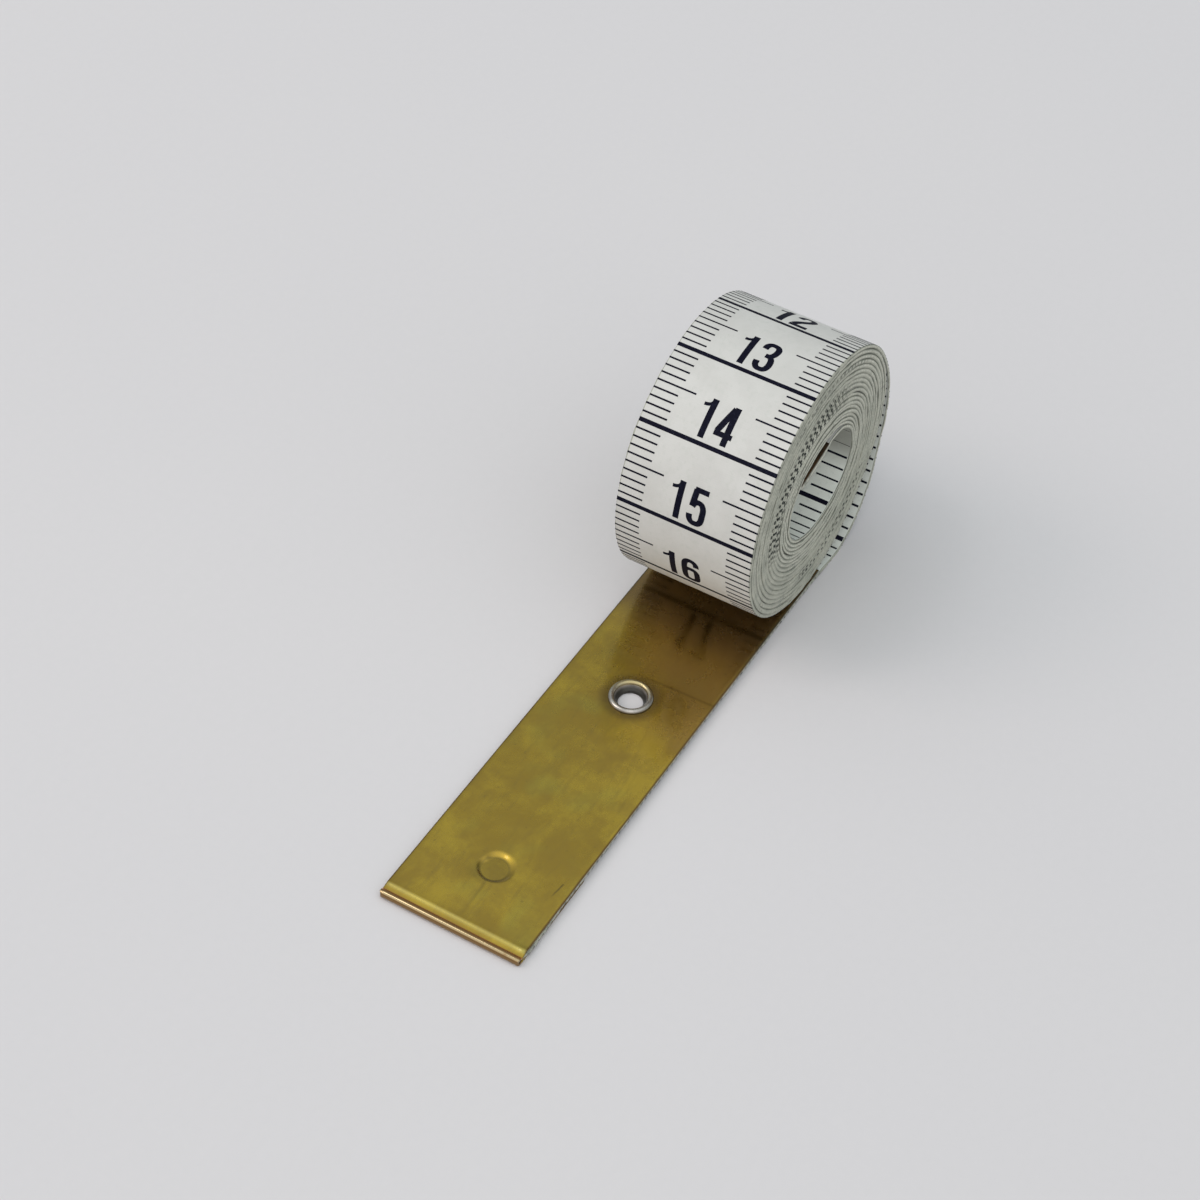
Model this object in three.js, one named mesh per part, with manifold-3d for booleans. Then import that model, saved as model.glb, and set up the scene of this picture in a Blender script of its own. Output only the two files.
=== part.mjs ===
// A tailor's cloth tape rolled up on its long brass end stiffener. Millimetres, +Z up, the ribbon
// runs along X with the stiffener's folded nose at low X, and the roll's axis is Y.
import * as THREE from "three";
import { mergeVertices } from "three/addons/utils/BufferGeometryUtils.js";
import Module from "manifold-3d";

// Ribbon: coated cloth
const TAPE_LENGTH = 1500;
const TAPE_WIDTH = 18;
const TAPE_THICKNESS = 0.45;
const AIR_BETWEEN_TURNS = 0.12;

// Brass stiffener: one sheet, as wide as the ribbon, folded round its zero end
const STIFFENER_LENGTH = 71;
const BRASS_THICKNESS = 0.28;
const RETURN_LEAF_LENGTH = 14;
const NOSE_GROOVE_SETBACK = 1.05;
const NOSE_GROOVE_DEPTH = 0.2;
const NOSE_RIDGE_SETBACK = 1.75;
const RIBBON_END_CLEARANCE = 0.15;

// Round clinch punched down through the stiffener into the ribbon, behind the nose
const CLINCH_SETBACK = 9.8;
const CLINCH_FLOOR_DIAMETER = 3.3;
const CLINCH_RIM_DIAMETER = 5.2;
const CLINCH_DEPTH = 0.22;
const CLINCH_CLEARANCE = 0.05;

// One-piece eyelet through the stiffener and the ribbon
const EYELET_SETBACK = 40;
const EYELET_BORE_DIAMETER = 3.9;
const EYELET_WALL = 0.2;
const EYELET_FLANGE_DIAMETER = 5.4;
const EYELET_CROWN_HEIGHT = 0.45;
const EYELET_CLINCH_DIAMETER = 5.2;
const EYELET_EDGE_ROUND = 0.08;
const EYELET_HOLE_CLEARANCE = 0.3;

// Roll: its hollow is a flattened oval, and its outer size follows from the ribbon wound round it
const HOLLOW_LENGTH = 16.4;
const HOLLOW_HEIGHT = 11.7;
const HOLLOW_OFFSET = 0.3;
const SLACK_OVER_INNER_END = 1.5;
const ROLL_CENTRE_TO_REAR_EDGE = 2.4;
const ROLL_SEAT_CLEARANCE = 0.05;
const CORE_CLEARANCE = 0.3;

// Loose lead from the stiffener's rear edge to the roll's back
const LEAD_SETTLE_LENGTH = 4;
const LEAD_FLAT_LENGTH = 1.5;
const LEAD_SEAM = 0.3;

// Free inner end of the ribbon, in the hollow, with its folded brass tab
const INNER_END_LENGTH = 7.6;
const INNER_ROOT_OFFSET = 1.3;
const TAB_LENGTH = 6.7;
const TAB_CLEARANCE = 0.05;
const SLIT_AT_ROOT = 1.05;
const POCKET_CLEARANCE = 0.35;

// Shares, angles and counts
const LEAD_START_SLOPE = THREE.MathUtils.degToRad(20);
const LEAD_JOIN_ANGLE = THREE.MathUtils.degToRad(-5);
const SEAT_ANGLE = THREE.MathUtils.degToRad(270);
const TAIL_ANGLE = THREE.MathUtils.degToRad(318);
const INNER_END_SLOPE = THREE.MathUtils.degToRad(13);
const LEAD_START_PULL_SHARE = 0.6;
const LEAD_JOIN_PULL_SHARE = 0.64;
const STEPS_PER_TURN = 36;
const RING_STEPS = 48;
const HOLLOW_STEPS = 36;
const LEAD_STEPS = 10;
const SETTLE_STEPS = 5;
const FOLD_STEPS = 8;
const ROUND_STEPS = 32;
const CROWN_STEPS = 6;

// Overrun of every cut, and the distance below which two vertices are one
const CUT_OVERRUN = 1;
const WELD_DISTANCE = 0.0001;

// Heights of the stack, from the table up: return leaf, ribbon, top leaf
const ribbonUnderside = BRASS_THICKNESS;
const ribbonMiddle = ribbonUnderside + TAPE_THICKNESS / 2;
const leafUnderside = ribbonUnderside + TAPE_THICKNESS;
const leafTop = leafUnderside + BRASS_THICKNESS;

// Roll: the wall's area holds the wound ribbon, edge on, so its thickness solves a quadratic
const windingPitch = TAPE_THICKNESS + AIR_BETWEEN_TURNS;
const woundArea = (TAPE_LENGTH - STIFFENER_LENGTH) * windingPitch;
const woundHeight = HOLLOW_HEIGHT + SLACK_OVER_INNER_END;
const hollowMean = (HOLLOW_LENGTH + woundHeight) / 2;
const rollWall = (Math.sqrt(hollowMean ** 2 + (4 * woundArea) / Math.PI) - hollowMean) / 2;
const rollHalfLength = (HOLLOW_LENGTH + windingPitch) / 2 + rollWall;
const rollHalfHeight = (woundHeight + windingPitch) / 2 + rollWall;
const drawnInPerRadian = windingPitch / (2 * Math.PI);
const drawnInAtSeat = drawnInPerRadian * (SEAT_ANGLE - LEAD_JOIN_ANGLE);
const rollCentre = new THREE.Vector2(
  STIFFENER_LENGTH - ROLL_CENTRE_TO_REAR_EDGE,
  leafTop + ROLL_SEAT_CLEARANCE + rollHalfHeight - drawnInAtSeat,
);
const hollowCentre = new THREE.Vector2(
  rollCentre.x - HOLLOW_OFFSET,
  rollCentre.y - SLACK_OVER_INNER_END / 2,
);
const liftOff = STIFFENER_LENGTH + LEAD_SETTLE_LENGTH + LEAD_FLAT_LENGTH;

const wasm = await Module();
wasm.setup();

const BRASS = { color: 0x8c7a32, roughness: 0.3, metalness: 1 };
const NICKEL = { color: 0xc4c6c8, roughness: 0.2, metalness: 1 };
const CLOTH = { color: 0xd8d9d3, roughness: 0.6, metalness: 0 };
const CLOTH_EDGE = { color: 0x979b90, roughness: 0.9, metalness: 0 };

// A closed geometry as a solid that can be joined and cut.
function solidOf(geometry) {
  const bare = geometry.index ? geometry.toNonIndexed() : geometry.clone();
  bare.deleteAttribute("normal");
  bare.deleteAttribute("uv");
  const merged = mergeVertices(bare, WELD_DISTANCE);
  return new wasm.Manifold(
    new wasm.Mesh({
      numProp: 3,
      vertProperties: merged.attributes.position.array,
      triVerts: new Uint32Array(merged.index.array),
    }),
  );
}

// A solid as a geometry with flat-shaded faces.
function geometryOf(solid) {
  const mesh = solid.getMesh();
  const geometry = new THREE.BufferGeometry();
  geometry.setAttribute("position", new THREE.BufferAttribute(mesh.vertProperties, mesh.numProp));
  geometry.setIndex(new THREE.BufferAttribute(mesh.triVerts, 1));
  const flat = geometry.toNonIndexed();
  flat.computeVertexNormals();
  return flat;
}

// An outline in the X-Z plane, drawn out across Y and centred on Y = 0.
function acrossY(outline, width, hole) {
  const shape = new THREE.Shape(outline);
  if (hole) shape.holes.push(new THREE.Path(hole));
  const geometry = new THREE.ExtrudeGeometry(shape, { depth: width, bevelEnabled: false });
  geometry.rotateX(Math.PI / 2);
  geometry.translate(0, width / 2, 0);
  return geometry;
}

// A profile of radius and height turned about a vertical axis that stands at x.
function turnedAt(x, profile) {
  const geometry = new THREE.LatheGeometry(profile, ROUND_STEPS);
  geometry.rotateX(Math.PI / 2);
  geometry.translate(x, 0, 0);
  return geometry;
}

// A point on an oval about centre, by angle from +X towards +Z.
function onOval(centre, halfLength, halfHeight, angle) {
  return new THREE.Vector2(
    centre.x + halfLength * Math.cos(angle),
    centre.y + halfHeight * Math.sin(angle),
  );
}

function oval(centre, halfLength, halfHeight, steps) {
  return Array.from({ length: steps }, (_, i) =>
    onOval(centre, halfLength, halfHeight, (2 * Math.PI * i) / steps),
  );
}

// The outline of a strip of even thickness along a path: out on one side and back on the other.
function stripAlong(path, thickness) {
  const sides = path.map((point, i) => {
    const before = path[Math.max(i - 1, 0)];
    const after = path[Math.min(i + 1, path.length - 1)];
    const along = after.clone().sub(before).normalize();
    return new THREE.Vector2(-along.y, along.x).multiplyScalar(thickness / 2);
  });
  const left = path.map((point, i) => point.clone().add(sides[i]));
  const right = path.map((point, i) => point.clone().sub(sides[i]));
  return [...right, ...left.reverse()];
}

// Brass stiffener: long top leaf, ridge over the ribbon's end, pressed groove, folded nose and
// a short return leaf under the ribbon, all one sheet.
function stiffenerGeometry() {
  const noseRadius = leafTop / 2;
  const innerRadius = noseRadius - BRASS_THICKNESS;
  const outline = [
    new THREE.Vector2(STIFFENER_LENGTH, leafTop),
    new THREE.Vector2(NOSE_RIDGE_SETBACK, leafTop),
    new THREE.Vector2(NOSE_GROOVE_SETBACK, leafTop - NOSE_GROOVE_DEPTH),
  ];
  for (let i = 0; i <= FOLD_STEPS; i++) {
    const angle = Math.PI / 2 + (Math.PI * i) / FOLD_STEPS;
    outline.push(
      new THREE.Vector2(
        noseRadius + noseRadius * Math.cos(angle),
        noseRadius + noseRadius * Math.sin(angle),
      ),
    );
  }
  outline.push(
    new THREE.Vector2(RETURN_LEAF_LENGTH, 0),
    new THREE.Vector2(RETURN_LEAF_LENGTH, ribbonUnderside),
  );
  for (let i = FOLD_STEPS; i >= 0; i -= 2) {
    const angle = Math.PI / 2 + (Math.PI * i) / FOLD_STEPS;
    outline.push(
      new THREE.Vector2(
        noseRadius + innerRadius * Math.cos(angle),
        noseRadius + innerRadius * Math.sin(angle),
      ),
    );
  }
  outline.push(
    new THREE.Vector2(NOSE_GROOVE_SETBACK, leafUnderside - NOSE_GROOVE_DEPTH),
    new THREE.Vector2(NOSE_RIDGE_SETBACK, leafUnderside),
    new THREE.Vector2(STIFFENER_LENGTH, leafUnderside),
  );
  const sheet = solidOf(acrossY(outline, TAPE_WIDTH));

  // The clinch is a dish in the sheet's top, and the same shape stands out of its underside
  const dish = clinchCone(leafTop, leafTop + CUT_OVERRUN, 0);
  const bulge = clinchCone(leafUnderside, leafUnderside + BRASS_THICKNESS / 2, 0);
  return geometryOf(sheet.add(bulge).subtract(dish).subtract(eyeletHole()));
}

// The clinch's flat floor and sloping wall, pressed down from one face of the stiffener, filled
// up to a height over that face, and wider and deeper by a clearance.
function clinchCone(face, upTo, clearance) {
  const rim = CLINCH_RIM_DIAMETER / 2 + clearance;
  const floor = CLINCH_FLOOR_DIAMETER / 2 + clearance;
  const depth = CLINCH_DEPTH + clearance;
  const profile = [
    new THREE.Vector2(0, face - depth),
    new THREE.Vector2(floor, face - depth),
    new THREE.Vector2(rim, face),
    new THREE.Vector2(rim, upTo),
    new THREE.Vector2(0, upTo),
  ];
  return solidOf(turnedAt(CLINCH_SETBACK, profile));
}

// The hole that the eyelet's barrel passes, with its clearance.
function eyeletHole() {
  const radius = EYELET_BORE_DIAMETER / 2 + EYELET_WALL + EYELET_HOLE_CLEARANCE;
  const profile = [
    new THREE.Vector2(0, -CUT_OVERRUN),
    new THREE.Vector2(radius, -CUT_OVERRUN),
    new THREE.Vector2(radius, leafTop + CUT_OVERRUN),
    new THREE.Vector2(0, leafTop + CUT_OVERRUN),
  ];
  return solidOf(turnedAt(EYELET_SETBACK, profile));
}

// Eyelet: rounded flange on the top leaf, barrel through the stack, and its foot rolled out
// under the ribbon, down to the table.
function eyeletGeometry() {
  const bore = EYELET_BORE_DIAMETER / 2;
  const barrel = bore + EYELET_WALL;
  const flange = EYELET_FLANGE_DIAMETER / 2;
  const foot = EYELET_CLINCH_DIAMETER / 2;
  const crownMiddle = (bore + flange) / 2;
  const crownHalf = (flange - bore) / 2;
  const profile = [
    new THREE.Vector2(bore, EYELET_EDGE_ROUND),
    new THREE.Vector2(bore + EYELET_EDGE_ROUND, 0),
    new THREE.Vector2(foot - EYELET_EDGE_ROUND, 0),
    new THREE.Vector2(foot, EYELET_EDGE_ROUND),
    new THREE.Vector2(foot, ribbonUnderside),
    new THREE.Vector2(barrel, ribbonUnderside),
    new THREE.Vector2(barrel, leafTop),
  ];
  for (let i = 0; i <= CROWN_STEPS; i++) {
    const angle = (Math.PI * i) / CROWN_STEPS;
    profile.push(
      new THREE.Vector2(
        crownMiddle + crownHalf * Math.cos(angle),
        leafTop + EYELET_CROWN_HEIGHT * Math.sin(angle),
      ),
    );
  }
  profile.push(profile[0].clone());
  return turnedAt(EYELET_SETBACK, profile);
}

// Ribbon under the stiffener: flat between the leaves, then down to the table behind the rear
// edge, up to the line where the lead lifts off.
function flatRibbonGeometry() {
  const path = [new THREE.Vector2(NOSE_RIDGE_SETBACK + RIBBON_END_CLEARANCE, ribbonMiddle)];
  for (let i = 0; i <= SETTLE_STEPS; i++) {
    const share = i / SETTLE_STEPS;
    const fall = (1 - Math.cos(Math.PI * share)) / 2;
    path.push(
      new THREE.Vector2(
        STIFFENER_LENGTH + LEAD_SETTLE_LENGTH * share,
        ribbonMiddle - ribbonUnderside * fall,
      ),
    );
  }
  path.push(new THREE.Vector2(liftOff - LEAD_SEAM / 2, TAPE_THICKNESS / 2));
  const ribbon = solidOf(acrossY(stripAlong(path, TAPE_THICKNESS), TAPE_WIDTH));
  const bite = clinchCone(leafUnderside, leafUnderside + CUT_OVERRUN, CLINCH_CLEARANCE);
  return geometryOf(ribbon.subtract(eyeletHole()).subtract(bite));
}

// Path of the outermost turn: the lead rises off the table to the roll's back, and the turn
// winds on over the top, down the front and under the roll, drawing in by one pitch a turn.
function outerTurnPath() {
  const halfLength = rollHalfLength - TAPE_THICKNESS / 2;
  const halfHeight = rollHalfHeight - TAPE_THICKNESS / 2;
  const start = new THREE.Vector2(liftOff + LEAD_SEAM / 2, TAPE_THICKNESS / 2);
  const join = onOval(rollCentre, halfLength, halfHeight, LEAD_JOIN_ANGLE);
  const heading = new THREE.Vector2(
    -halfLength * Math.sin(LEAD_JOIN_ANGLE),
    halfHeight * Math.cos(LEAD_JOIN_ANGLE),
  ).normalize();
  const rising = new THREE.Vector2(Math.cos(LEAD_START_SLOPE), Math.sin(LEAD_START_SLOPE));
  const lead = new THREE.CubicBezierCurve(
    start,
    start.clone().addScaledVector(rising, (join.x - start.x) * LEAD_START_PULL_SHARE),
    join.clone().addScaledVector(heading, -(join.y - start.y) * LEAD_JOIN_PULL_SHARE),
    join,
  );
  const path = lead.getPoints(LEAD_STEPS);
  const swept = TAIL_ANGLE - LEAD_JOIN_ANGLE;
  const steps = Math.round((STEPS_PER_TURN * swept) / (2 * Math.PI));
  for (let i = 1; i <= steps; i++) {
    const turned = (swept * i) / steps;
    const drawnIn = drawnInPerRadian * turned;
    path.push(
      onOval(rollCentre, halfLength - drawnIn, halfHeight - drawnIn, LEAD_JOIN_ANGLE + turned),
    );
  }
  return path;
}

// Least clear gap between two stretches of a strip, measured from its points to its legs.
// Stretches that lie less than half a turn's steps apart are neighbours, and are skipped.
function leastGapToItself(path, thickness) {
  let least = Infinity;
  for (let i = 0; i < path.length; i++) {
    for (let j = 0; j + 1 < path.length; j++) {
      if (Math.abs(i - j) <= STEPS_PER_TURN / 2) continue;
      const leg = path[j + 1].clone().sub(path[j]);
      const offset = path[i].clone().sub(path[j]);
      const share = THREE.MathUtils.clamp(offset.dot(leg) / leg.lengthSq(), 0, 1);
      least = Math.min(least, offset.addScaledVector(leg, -share).length());
    }
  }
  return least - thickness;
}

// Wound turns inside the outermost one, as one plain ring round the hollow.
function woundTurnsGeometry() {
  const drawnIn = drawnInPerRadian * (TAIL_ANGLE - LEAD_JOIN_ANGLE);
  const inset = TAPE_THICKNESS + drawnIn + CORE_CLEARANCE;
  const outside = oval(rollCentre, rollHalfLength - inset, rollHalfHeight - inset, RING_STEPS);
  const inside = oval(hollowCentre, HOLLOW_LENGTH / 2, HOLLOW_HEIGHT / 2, HOLLOW_STEPS);

  // The innermost layer parts from the next one above it, so the hollow has a pocket in its roof
  const underFlap = TAPE_THICKNESS / 2 + TAB_CLEARANCE + BRASS_THICKNESS + POCKET_CLEARANCE;
  const slitTop = TAPE_THICKNESS / 2 + SLIT_AT_ROOT;
  const farEnd = INNER_END_LENGTH + TAB_CLEARANCE + underFlap;
  const pocket = [
    onFlap(-POCKET_CLEARANCE, slitTop),
    onFlap(farEnd, underFlap),
    onFlap(farEnd, -underFlap),
    onFlap(-POCKET_CLEARANCE, -underFlap),
  ];
  const ring = solidOf(acrossY(outside, TAPE_WIDTH, inside.reverse()));
  return geometryOf(ring.subtract(solidOf(acrossY(pocket, TAPE_WIDTH + CUT_OVERRUN))));
}

// Inner end of the ribbon: a straight flap that goes on from the innermost layer towards the
// front. A point on it is given by its distance from the root, and its height over the middle.
const innerRoot = new THREE.Vector2(
  hollowCentre.x + INNER_ROOT_OFFSET,
  hollowCentre.y + (HOLLOW_HEIGHT + TAPE_THICKNESS) / 2,
);
function onFlap(along, above) {
  const direction = new THREE.Vector2(-Math.cos(INNER_END_SLOPE), -Math.sin(INNER_END_SLOPE));
  const upward = new THREE.Vector2(-Math.sin(INNER_END_SLOPE), Math.cos(INNER_END_SLOPE));
  return innerRoot.clone().addScaledVector(direction, along).addScaledVector(upward, above);
}

function innerEndGeometry() {
  const path = [onFlap(0, 0), onFlap(INNER_END_LENGTH, 0)];
  return acrossY(stripAlong(path, TAPE_THICKNESS), TAPE_WIDTH);
}

// Brass tab: a sheet folded over the inner end, round at the fold.
function endTabGeometry() {
  const inner = TAPE_THICKNESS / 2 + TAB_CLEARANCE;
  const outer = inner + BRASS_THICKNESS;
  const mouth = INNER_END_LENGTH - TAB_LENGTH;
  const outline = [onFlap(mouth, inner), onFlap(mouth, outer)];
  for (let i = 0; i <= FOLD_STEPS; i++) {
    const angle = Math.PI / 2 - (Math.PI * i) / FOLD_STEPS;
    const reach = INNER_END_LENGTH + TAB_CLEARANCE;
    outline.push(onFlap(reach + outer * Math.cos(angle), outer * Math.sin(angle)));
  }
  outline.push(onFlap(mouth, -outer), onFlap(mouth, -inner));
  outline.push(onFlap(INNER_END_LENGTH + TAB_CLEARANCE, -inner));
  outline.push(onFlap(INNER_END_LENGTH + TAB_CLEARANCE, inner));
  return acrossY(outline, TAPE_WIDTH);
}

function piece(name, geometry, look) {
  const mesh = new THREE.Mesh(geometry, new THREE.MeshStandardMaterial(look));
  mesh.name = name;
  return mesh;
}

const outerPath = outerTurnPath();
const leastGap = leastGapToItself(outerPath, TAPE_THICKNESS);
const turnLength = Math.PI * ((rollHalfLength + rollHalfHeight + hollowMean) / 2);
console.log("outer turn: least gap to itself " + leastGap.toFixed(2) + " mm");
console.log("wound turns in all: " + ((TAPE_LENGTH - STIFFENER_LENGTH) / turnLength).toFixed(1));

const assembly = new THREE.Group();
assembly.add(piece("brass_stiffener", stiffenerGeometry(), BRASS));
assembly.add(piece("eyelet", eyeletGeometry(), NICKEL));
assembly.add(piece("ribbon_under_stiffener", flatRibbonGeometry(), CLOTH));
const outerTurn = acrossY(stripAlong(outerPath, TAPE_THICKNESS), TAPE_WIDTH);
assembly.add(piece("ribbon_outer_turn", outerTurn, CLOTH));
assembly.add(piece("ribbon_wound_turns", woundTurnsGeometry(), CLOTH_EDGE));
assembly.add(piece("ribbon_inner_end", innerEndGeometry(), CLOTH));
assembly.add(piece("inner_end_tab", endTabGeometry(), BRASS));

// The origin lies on the table under the middle of the whole tape.
const bounds = new THREE.Box3().setFromObject(assembly);
assembly.position.set(-(bounds.min.x + bounds.max.x) / 2, 0, -bounds.min.z);

const group = new THREE.Group();
group.add(assembly);

export default group;
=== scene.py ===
import math
import bpy
import numpy as np
from mathutils import Matrix, Vector


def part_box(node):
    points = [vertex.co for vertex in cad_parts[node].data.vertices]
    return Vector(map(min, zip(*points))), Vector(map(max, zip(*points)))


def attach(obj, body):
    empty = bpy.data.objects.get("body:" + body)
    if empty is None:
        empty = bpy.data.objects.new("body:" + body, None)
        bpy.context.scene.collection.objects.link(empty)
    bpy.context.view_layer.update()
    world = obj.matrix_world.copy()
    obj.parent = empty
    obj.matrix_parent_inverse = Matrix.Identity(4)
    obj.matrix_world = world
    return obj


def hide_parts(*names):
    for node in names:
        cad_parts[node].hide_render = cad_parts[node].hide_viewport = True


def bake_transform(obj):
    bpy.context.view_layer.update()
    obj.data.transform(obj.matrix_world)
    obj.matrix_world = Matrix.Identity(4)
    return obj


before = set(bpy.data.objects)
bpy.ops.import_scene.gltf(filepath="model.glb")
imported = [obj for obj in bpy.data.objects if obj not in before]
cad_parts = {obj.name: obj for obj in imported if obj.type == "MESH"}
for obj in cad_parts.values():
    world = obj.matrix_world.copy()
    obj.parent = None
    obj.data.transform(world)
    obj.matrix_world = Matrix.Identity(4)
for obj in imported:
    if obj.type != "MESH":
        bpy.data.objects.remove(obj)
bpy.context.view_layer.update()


# Brass stiffener: one sheet, 71 by 18 mm, folded round the ribbon's zero end. A groove is
# pressed behind the rolled nose, and a round punch mark behind that clinches the sheet to
# the ribbon. Every size here and below is in millimetres, along X from the nose.
MM = 0.001
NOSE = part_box("brass_stiffener")[0].x
TAPE_WIDTH = 18.0
TAPE_THICKNESS = 0.45
tape_half = TAPE_THICKNESS / 2
brass_thickness = 0.28
stiffener_length = 71.0
return_leaf_length = 14.0
nose_radius = (2 * brass_thickness + TAPE_THICKNESS) / 2
leaf_middle = brass_thickness * 1.5 + TAPE_THICKNESS
leaf_shape = [(0.505, 0.0), (0.6, -0.03), (0.7, -0.11), (0.8, -0.175), (0.92, -0.19), (1.1, -0.172),
              (1.35, -0.13), (1.55, -0.078), (1.76, -0.012), (1.9, 0.018), (2.05, 0.014), (2.4, 0.005), (3.0, 0.0)]
sheet_rounding = 0.09
nose_corner = 0.5
clinch_at = 9.7
clinch_floor = 1.6
clinch_rim = 2.3
clinch_depth = 0.27
nick_bearing, nick_spread = 1.1, 0.35
crease_from, crease_to = (7.9, -0.05), (2.1, -0.35)
crease_slope = (crease_from[1] - crease_to[1]) / (crease_from[0] - crease_to[0])
crease_depth, crease_width = 0.025, 0.3
eyelet_at = 40.0
eyelet_hole = 2.4


def metres(points):
    """Millimetres from the nose as metres in the part's frame."""
    return np.asarray(points, float) * MM + np.array([NOSE, 0.0, 0.0])


def run_of(path):
    """How far along a path each of its points lies."""
    return np.concatenate([[0], np.cumsum(np.linalg.norm(np.diff(path, axis=0), axis=1))])


def even_steps(points, step):
    """The same polyline with a point at every step of its length."""
    points = np.asarray(points, float)
    run = run_of(points)
    at = np.linspace(0, run[-1], max(2, int(round(run[-1] / step)) + 1))
    return np.stack([np.interp(at, run, column) for column in points.T], 1)


def smooth_through(points, step=0.1, closed=False):
    """A smooth line through the points (Catmull-Rom), in even steps."""
    points = np.asarray(points, float)
    if closed:
        knots = np.concatenate([[points[-1]], points, points[:2]])
    else:
        knots = np.concatenate([[2 * points[0] - points[1]], points, [2 * points[-1] - points[-2]]])
    t = np.linspace(0, 1, 16, endpoint=False)[:, None]
    line = []
    for a, b, c, d in zip(knots, knots[1:], knots[2:], knots[3:]):
        line.append(b + 0.5 * t * (c - a + t * (2 * a - 5 * b + 4 * c - d + t * (3 * (b - c) + d - a))))
    return even_steps(np.concatenate([*line, knots[-2:-1]]), step)


def left_of(path):
    """Unit normals on the left of a path in the X-Z plane."""
    way = np.gradient(path, axis=0)
    way /= np.linalg.norm(way, axis=1)[:, None]
    return np.stack([-way[:, 1], way[:, 0]], 1)


def sheet_loop(columns, above, below, rounding, steps=3):
    """A strip's cross-section as (across, height) points: the top from low Y, then the bottom
    back, so that point j lies over point -1 - j."""
    turn = np.linspace(0, math.pi / 2, steps + 1)
    across = columns[-1] + rounding * (np.cos(turn) - 1)
    across = np.concatenate([-across, columns[1:-1], across[::-1]])
    drop = 1 - np.sin(turn)
    drop = np.concatenate([drop, np.zeros(len(columns) - 2), drop[::-1]])
    middle = (above + below) / 2
    top = above - drop * (above - middle)
    bottom = below + drop * (middle - below)
    return np.concatenate([np.stack([across, top], 1), np.stack([across, bottom], 1)[::-1]])


def placed(name, data):
    """A new object in the scene that holds a mesh, a curve, a lamp or a camera."""
    made = bpy.data.objects.new(name, data)
    bpy.context.collection.objects.link(made)
    return made


def meshed(name, points, faces):
    """A new mesh object, from points in millimetres from the nose."""
    mesh = bpy.data.meshes.new(name)
    mesh.from_pydata(metres(points).tolist(), [], faces)
    return placed(name, mesh)


def strip_mesh(name, path, loops, lengths=None, shift=0.0):
    """A closed skin along a path, with one cross-section at each of its points, moved along Y by
    shift. Its UV map holds the length along the path and the place across it, in metres, and its
    attribute layer goes from 0 on the path's right to 1 on its left."""
    path, loops = np.asarray(path, float), np.asarray(loops, float)
    rows, ring = loops.shape[:2]
    out = left_of(path)
    points = np.empty((rows, ring, 3))
    points[:, :, 0] = path[:, None, 0] + loops[:, :, 1] * out[:, None, 0]
    points[:, :, 1] = loops[:, :, 0] + np.broadcast_to(shift, rows)[:, None]
    points[:, :, 2] = path[:, None, 1] + loops[:, :, 1] * out[:, None, 1]
    grid = np.arange(rows * ring).reshape(rows, ring)
    a, b = grid[:-1], grid[1:]
    sides = np.stack([a, np.roll(a, -1, 1), np.roll(b, -1, 1), b], -1).reshape(-1, 4)
    j = np.arange(ring // 2 - 1)
    caps = [np.stack([row[j], row[ring - 1 - j], row[ring - 2 - j], row[j + 1]], 1) for row in grid[[0, -1]]]
    faces = np.concatenate([sides, caps[0], caps[1][:, ::-1]])
    piece = meshed(name, points.reshape(-1, 3), faces.tolist())
    mesh = piece.data
    mesh.validate()
    if lengths is not None:
        along = np.repeat(np.asarray(lengths, float) * MM, ring)
        across = loops[:, :, 0].reshape(-1) * MM
        corner = np.zeros(len(mesh.loops), int)
        mesh.loops.foreach_get("vertex_index", corner)
        cloth = mesh.uv_layers.new(name="cloth")
        cloth.data.foreach_set("uv", np.stack([along[corner], across[corner]], 1).ravel())
        layer = mesh.attributes.new("layer", "FLOAT", "POINT")
        height = loops[:, :, 1] - loops[:, :, 1].min(1)[:, None]
        layer.data.foreach_set("value", (height / height.max(1)[:, None]).ravel())
    face_outwards(piece)
    return piece


def face_outwards(piece, sharp=40):
    """Turns the faces outwards and shades them smooth, but for edges sharper than that."""
    mesh = piece.data
    co = np.empty(len(mesh.vertices) * 3)
    mesh.vertices.foreach_get("co", co)
    mesh.calc_loop_triangles()
    tri = np.empty(len(mesh.loop_triangles) * 3, int)
    mesh.loop_triangles.foreach_get("vertices", tri)
    p, q, r = (co.reshape(-1, 3)[tri[k::3]] for k in range(3))
    if (p * np.cross(q, r)).sum() < 0:
        mesh.flip_normals()
    mesh.polygons.foreach_set("use_smooth", [True] * len(mesh.polygons))
    mesh.set_sharp_from_angle(angle=math.radians(sharp))
    mesh.update()


def shaped(piece):
    """A new mesh of the piece with its modifiers applied."""
    bpy.context.view_layer.update()
    return bpy.data.meshes.new_from_object(piece.evaluated_get(bpy.context.evaluated_depsgraph_get()))


def punch(piece, x, radius, corners=64, low=-3, high=4):
    """A round hole down through a flat piece."""
    turn = np.linspace(0, 2 * math.pi, corners, endpoint=False)
    ring = np.stack([x + radius * np.cos(turn), radius * np.sin(turn)], 1)
    points = [(*p, z) for z in (low, high) for p in ring]
    sides = [(k, (k + 1) % corners, corners + (k + 1) % corners, corners + k) for k in range(corners)]
    ends = [tuple(range(corners))[::-1], tuple(range(corners, 2 * corners))]
    cutter = meshed("punch", points, sides + ends)
    cut = piece.modifiers.new("hole", "BOOLEAN")
    cut.operation, cut.solver, cut.object = "DIFFERENCE", "EXACT", cutter
    made = shaped(piece)
    piece.modifiers.clear()
    piece.data = made
    bpy.data.objects.remove(cutter)


def math_method(operation):
    """A method of Mark that adds a Math node for one operation."""
    return lambda self, *others: self.math(operation, *others)


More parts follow.
